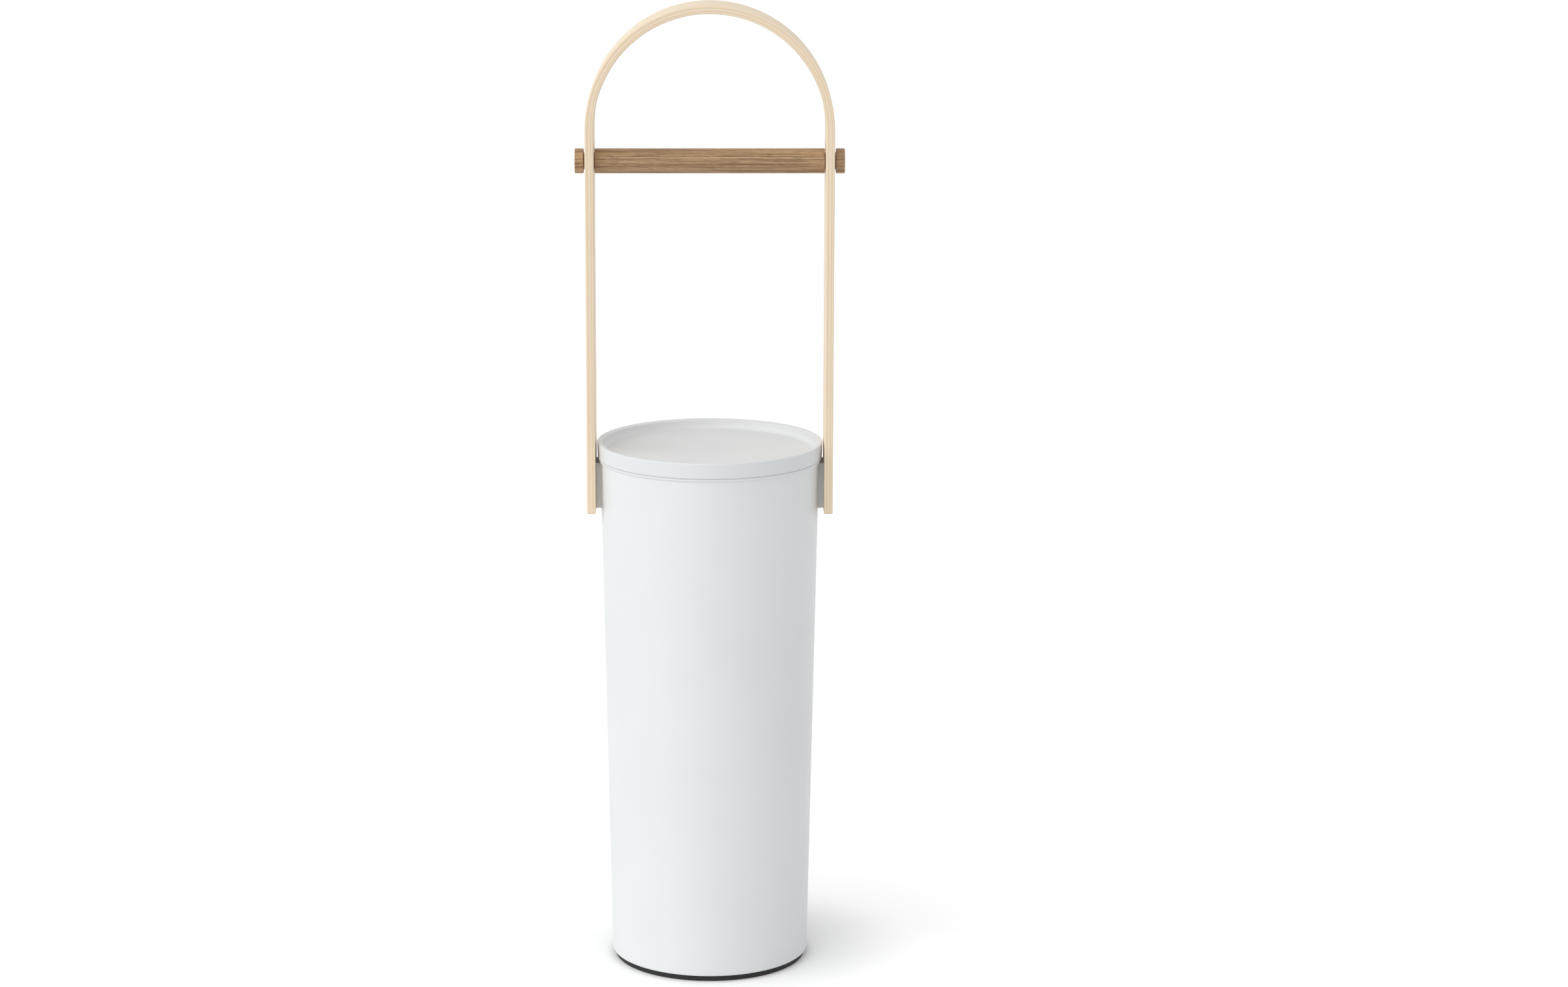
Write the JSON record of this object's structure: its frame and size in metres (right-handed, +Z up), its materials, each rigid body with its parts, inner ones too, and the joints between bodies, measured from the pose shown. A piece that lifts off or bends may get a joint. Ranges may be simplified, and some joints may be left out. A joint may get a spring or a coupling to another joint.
{
  "type": "freestanding toilet roll holder",
  "caption": "Floor-standing toilet roll holder: a bent-wood handle carries a wooden roll rod over a lidded canister for spare rolls.",
  "frame": {"origin": "on the floor, under the middle of the canister", "axes": "+Z up, the front faces -Y, and the rod and the handle's two legs lie along X"},
  "size_m": [0.1822, 0.1544, 0.6658],
  "materials": {
    "white_plastic": "satin",
    "lid_plastic": "satin",
    "spacer_plastic": "satin",
    "foot_rubber": "matt",
    "ballast_steel": "black coated",
    "bent_plywood": "clear matt lacquer, laminations showing on the edges",
    "rod_wood": "oiled",
    "screw_steel": "zinc plated",
    "insert_brass": "turned"
  },
  "bodies": {
    "stand": {"canister": "white_plastic", "foot_pad": "foot_rubber", "base_weight": "ballast_steel", "handle": "bent_plywood", "left_spacer": "spacer_plastic", "left_lower_screw": "screw_steel", "left_lower_insert": "insert_brass", "left_upper_screw": "screw_steel", "left_upper_insert": "insert_brass", "right_spacer": "spacer_plastic", "right_lower_screw": "screw_steel", "right_lower_insert": "insert_brass", "right_upper_screw": "screw_steel", "right_upper_insert": "insert_brass"},
    "lid": {"lid": "lid_plastic"},
    "rod": {"rod": "rod_wood"}
  },
  "joints": [
    {"name": "lid_lift", "type": "slide", "parent": "stand", "child": "lid", "axis": [0, 0, 1], "range_m": [0, 0.14]},
    {"name": "rod_spin", "type": "hinge", "parent": "stand", "child": "rod", "pos_m": [0, 0, 0.5593], "axis": [1, 0, 0], "continuous": true}
  ]
}
